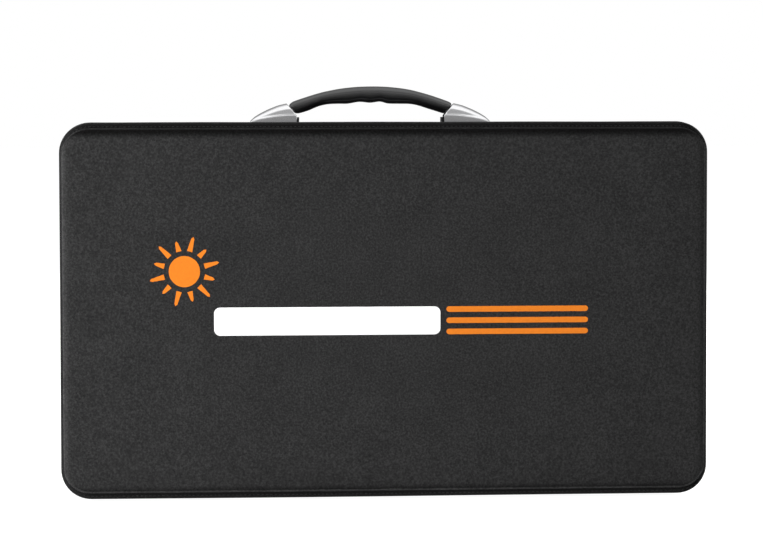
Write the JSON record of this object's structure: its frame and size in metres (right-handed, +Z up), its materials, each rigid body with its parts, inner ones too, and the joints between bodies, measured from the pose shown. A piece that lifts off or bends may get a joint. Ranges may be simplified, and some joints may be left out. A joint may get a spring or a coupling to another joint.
{
  "type": "solar suitcase kit",
  "caption": "Zip-around carry case holding two framed solar modules, a charge controller, clamps and cable, with a carry handle and a folding back stand.",
  "frame": {"origin": "middle of the kit's footprint, on the floor, with the case standing upright on its hinge edge", "axes": "+X to the right of someone facing the front, +Y towards the back stand, +Z up towards the carry handle"},
  "size_m": [0.646, 0.093, 0.4116],
  "materials": {
    "case_fabric": "black fine-grained woven fabric laminated on board",
    "liner_fabric": "dark brushed tricot liner over foam",
    "zip_tape": "black woven tape",
    "zip_metal": "gunmetal plated",
    "cap_metal": "satin silver plating",
    "grip_plastic": "black soft-touch moulding, low sheen",
    "base_plastic": "black moulded plastic",
    "steel": "zinc-plated steel",
    "frame_aluminium": "clear anodised extrusion",
    "module_glass": "tempered low-iron glass",
    "solar_cells": "dark blue crystalline cells with silver busbars on a black back sheet",
    "jbox_plastic": "black moulded plastic",
    "controller_plastic": "dark grey moulded plastic, fine spark texture",
    "display": "reflective liquid crystal window",
    "button_rubber": "orange silicone key",
    "terminal_plastic": "green moulded terminal block",
    "stand_steel": "satin black powder coat",
    "foot_rubber": "black rubber sleeve",
    "net": "black knitted mesh with a bound edge",
    "clamp_red": "red moulded insulation",
    "clamp_black": "black moulded insulation",
    "cable_rubber": "black two-core cable jacket",
    "print_orange": "flat orange screen print",
    "print_white": "flat white screen print"
  },
  "bodies": {
    "back_half": {"back_shell": "case_fabric", "back_liner": "liner_fabric", "back_spine": "zip_tape", "back_zip_tape": "zip_tape", "back_frame_top": "frame_aluminium", "back_frame_bottom": "frame_aluminium", "back_frame_left": "frame_aluminium", "back_frame_right": "frame_aluminium", "back_glass": "module_glass", "back_cells": "solar_cells", "back_junction_box": "jbox_plastic", "back_junction_lid": "jbox_plastic", "controller_base": "controller_plastic", "controller_cover": "controller_plastic", "controller_display": "display", "controller_terminals": "terminal_plastic", "handle_base_left": "base_plastic", "handle_base_right": "base_plastic", "handle_cap_left": "cap_metal", "handle_cap_right": "cap_metal", "handle_plate": "steel", "handle_screw_left": "steel", "handle_screw_right": "steel", "stand_bracket_left": "stand_steel", "stand_bracket_right": "stand_steel", "stand_clip": "stand_steel"},
    "lid_half": {"lid_shell": "case_fabric", "lid_liner": "liner_fabric", "lid_spine": "zip_tape", "lid_zip_tape": "zip_tape", "lid_frame_top": "frame_aluminium", "lid_frame_bottom": "frame_aluminium", "lid_frame_left": "frame_aluminium", "lid_frame_right": "frame_aluminium", "lid_glass": "module_glass", "lid_cells": "solar_cells", "lid_junction_box": "jbox_plastic", "lid_junction_lid": "jbox_plastic", "net_pocket": "net", "clamp_red_lower": "clamp_red", "clamp_red_pin": "steel", "clamp_red_spring": "steel", "clamp_black_lower": "clamp_black", "clamp_black_pin": "steel", "clamp_black_spring": "steel", "charge_cable": "cable_rubber", "cable_plug": "cable_rubber"},
    "handle": {"handle_grip": "grip_plastic"},
    "stand": {"stand_bail": "stand_steel", "stand_foot_left": "foot_rubber", "stand_foot_right": "foot_rubber"},
    "clamp_red_jaw": {"clamp_red_upper": "clamp_red"},
    "clamp_black_jaw": {"clamp_black_upper": "clamp_black"},
    "button_left": {"controller_button_left": "button_rubber"},
    "button_right": {"controller_button_right": "button_rubber"},
    "slider_left": {"zip_slider_left": "zip_metal"},
    "slider_right": {"zip_slider_right": "zip_metal"},
    "pull_left": {"zip_pull_left": "zip_metal"},
    "pull_right": {"zip_pull_right": "zip_metal"}
  },
  "joints": [
    {"name": "back_stand_swing", "type": "hinge", "parent": "back_half", "child": "stand", "pos_m": [0, 0.04, 0.31], "axis": [1, 0, 0], "range_deg": [0, 60]},
    {"name": "carry_handle_lift", "type": "slide", "parent": "back_half", "child": "handle", "axis": [0, 0, 1], "range_m": [0, 0.005]},
    {"name": "case_lid_hinge", "type": "hinge", "parent": "back_half", "child": "lid_half", "pos_m": [0, -0.0065, -0.0003], "axis": [1, 0, 0], "range_deg": [0, 180]},
    {"name": "clamp_black_jaw_open", "type": "hinge", "parent": "lid_half", "child": "clamp_black_jaw", "pos_m": [0.255, -0.0255, 0.255], "axis": [0, 1, 0], "range_deg": [0, 25]},
    {"name": "clamp_red_jaw_open", "type": "hinge", "parent": "lid_half", "child": "clamp_red_jaw", "pos_m": [0.255, -0.0255, 0.318], "axis": [0, 1, 0], "range_deg": [0, 25]},
    {"name": "controller_button_left_press", "type": "slide", "parent": "back_half", "child": "button_left", "axis": [0, 1, 0], "range_m": [0, 0.0008]},
    {"name": "controller_button_right_press", "type": "slide", "parent": "back_half", "child": "button_right", "axis": [0, 1, 0], "range_m": [0, 0.0008]},
    {"name": "zip_left_pull_flip", "type": "hinge", "parent": "slider_left", "child": "pull_left", "pos_m": [-0.0292, -0.0065, 0.3743], "axis": [0, 1, 0], "range_deg": [0, 120]},
    {"name": "zip_left_slide", "type": "slide", "parent": "back_half", "child": "slider_left", "axis": [-1, 0, 0], "range_m": [0, 0.23]},
    {"name": "zip_right_pull_flip", "type": "hinge", "parent": "slider_right", "child": "pull_right", "pos_m": [0.0032, -0.0065, 0.3743], "axis": [0, -1, 0], "range_deg": [0, 120]},
    {"name": "zip_right_slide", "type": "slide", "parent": "back_half", "child": "slider_right", "axis": [1, 0, 0], "range_m": [0, 0.255]}
  ]
}
